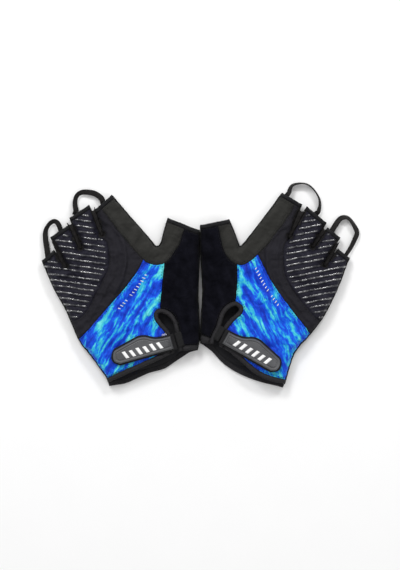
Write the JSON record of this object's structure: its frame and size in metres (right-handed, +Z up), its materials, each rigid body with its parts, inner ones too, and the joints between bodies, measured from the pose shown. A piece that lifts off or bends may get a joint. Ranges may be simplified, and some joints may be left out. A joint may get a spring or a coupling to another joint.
{
  "type": "pair of short-finger sailing gloves",
  "caption": "Pair of short-finger gloves, palm down, with silicone-ribbed fingers, a printed back panel, a wrist slit with a peel-up rubber strap and ribbon pull loops.",
  "frame": {"origin": "on the surface under the gloves, in the middle of the pair", "axes": "+X from the left glove's little finger to the right glove's, +Y from the wrists to the finger ends, +Z up from the palms to the backs"},
  "size_m": [0.2786, 0.1807, 0.019],
  "materials": {
    "palm_suede": "short nap",
    "palm_cloth": "smooth knit",
    "foam": "foam",
    "lining": "tricot",
    "navy_cloth": "matt weave",
    "knit": "fine rib knit",
    "print_cloth": "printed stretch cloth",
    "pile_cloth": "short pile",
    "band_suede": "suede",
    "gusset_mesh": "matt mesh",
    "hem_cloth": "folded hem",
    "binding": "elastic tape",
    "silicone": "glossy silicone",
    "strap_web": "webbing",
    "loop_tape": "loop pile",
    "tab_rubber": "satin moulded rubber",
    "bar_print": "raised white print",
    "hook_tape": "hooks",
    "ribbon": "woven ribbon"
  },
  "bodies": {
    "left_glove": {"left_palm_patch": "palm_suede", "left_palm_panel": "palm_cloth", "left_palm_pads": "foam", "left_palm_lining": "lining", "left_finger_panel": "navy_cloth", "left_knit_panel": "knit", "left_print_panel": "print_cloth", "left_thumb_panel": "pile_cloth", "left_web_band": "band_suede", "left_gusset_index_middle": "gusset_mesh", "left_gusset_middle_ring": "gusset_mesh", "left_gusset_ring_little": "gusset_mesh", "left_hem_thumb": "hem_cloth", "left_hem_index": "hem_cloth", "left_hem_middle": "hem_cloth", "left_hem_ring": "hem_cloth", "left_hem_little": "hem_cloth", "left_cuff_binding": "binding", "left_slit_binding": "binding", "left_grip_ribs": "silicone", "left_strap_anchor": "strap_web", "left_loop_patch": "loop_tape"},
    "left_strap": {"left_strap_backing": "strap_web", "left_strap_tab": "tab_rubber", "left_strap_bars": "bar_print", "left_hook_pad": "hook_tape"},
    "left_index_loop": {"left_pull_loop_index_middle": "ribbon"},
    "left_little_loop": {"left_pull_loop_ring_little": "ribbon"},
    "right_glove": {"right_palm_patch": "palm_suede", "right_palm_panel": "palm_cloth", "right_palm_pads": "foam", "right_palm_lining": "lining", "right_finger_panel": "navy_cloth", "right_knit_panel": "knit", "right_print_panel": "print_cloth", "right_thumb_panel": "pile_cloth", "right_web_band": "band_suede", "right_gusset_index_middle": "gusset_mesh", "right_gusset_middle_ring": "gusset_mesh", "right_gusset_ring_little": "gusset_mesh", "right_hem_thumb": "hem_cloth", "right_hem_index": "hem_cloth", "right_hem_middle": "hem_cloth", "right_hem_ring": "hem_cloth", "right_hem_little": "hem_cloth", "right_cuff_binding": "binding", "right_slit_binding": "binding", "right_grip_ribs": "silicone", "right_strap_anchor": "strap_web", "right_loop_patch": "loop_tape"},
    "right_strap": {"right_strap_backing": "strap_web", "right_strap_tab": "tab_rubber", "right_strap_bars": "bar_print", "right_hook_pad": "hook_tape"},
    "right_index_loop": {"right_pull_loop_index_middle": "ribbon"},
    "right_little_loop": {"right_pull_loop_ring_little": "ribbon"}
  },
  "joints": [
    {"name": "gloves_apart", "type": "slide", "parent": "left_glove", "child": "right_glove", "axis": [1, 0, 0], "range_m": [0, 0.12]},
    {"name": "left_strap_peel", "type": "hinge", "parent": "left_glove", "child": "left_strap", "pos_m": [-0.0213, -0.0488, 0.01685], "axis": [-0.2756, 0.9613, 0], "range_deg": [0, 140]},
    {"name": "right_strap_peel", "type": "hinge", "parent": "right_glove", "child": "right_strap", "pos_m": [0.0196, -0.044, 0.01685], "axis": [-0.4939, -0.8695, 0], "range_deg": [0, 140]},
    {"name": "left_index_loop_swing", "type": "hinge", "parent": "left_glove", "child": "left_index_loop", "pos_m": [-0.09715, 0.0699, 0.006], "axis": [0.9202, 0.3916, 0], "range_deg": [0, 80]},
    {"name": "left_little_loop_swing", "type": "hinge", "parent": "left_glove", "child": "left_little_loop", "pos_m": [-0.129, 0.0385, 0.006], "axis": [0.4504, 0.8928, 0], "range_deg": [0, 80]},
    {"name": "right_index_loop_swing", "type": "hinge", "parent": "right_glove", "child": "right_index_loop", "pos_m": [0.0912, 0.07155, 0.006], "axis": [0.8375, -0.5464, 0], "range_deg": [0, 80]},
    {"name": "right_little_loop_swing", "type": "hinge", "parent": "right_glove", "child": "right_little_loop", "pos_m": [0.1232, 0.0381, 0.006], "axis": [0.5014, -0.8652, 0], "range_deg": [0, 80]}
  ]
}
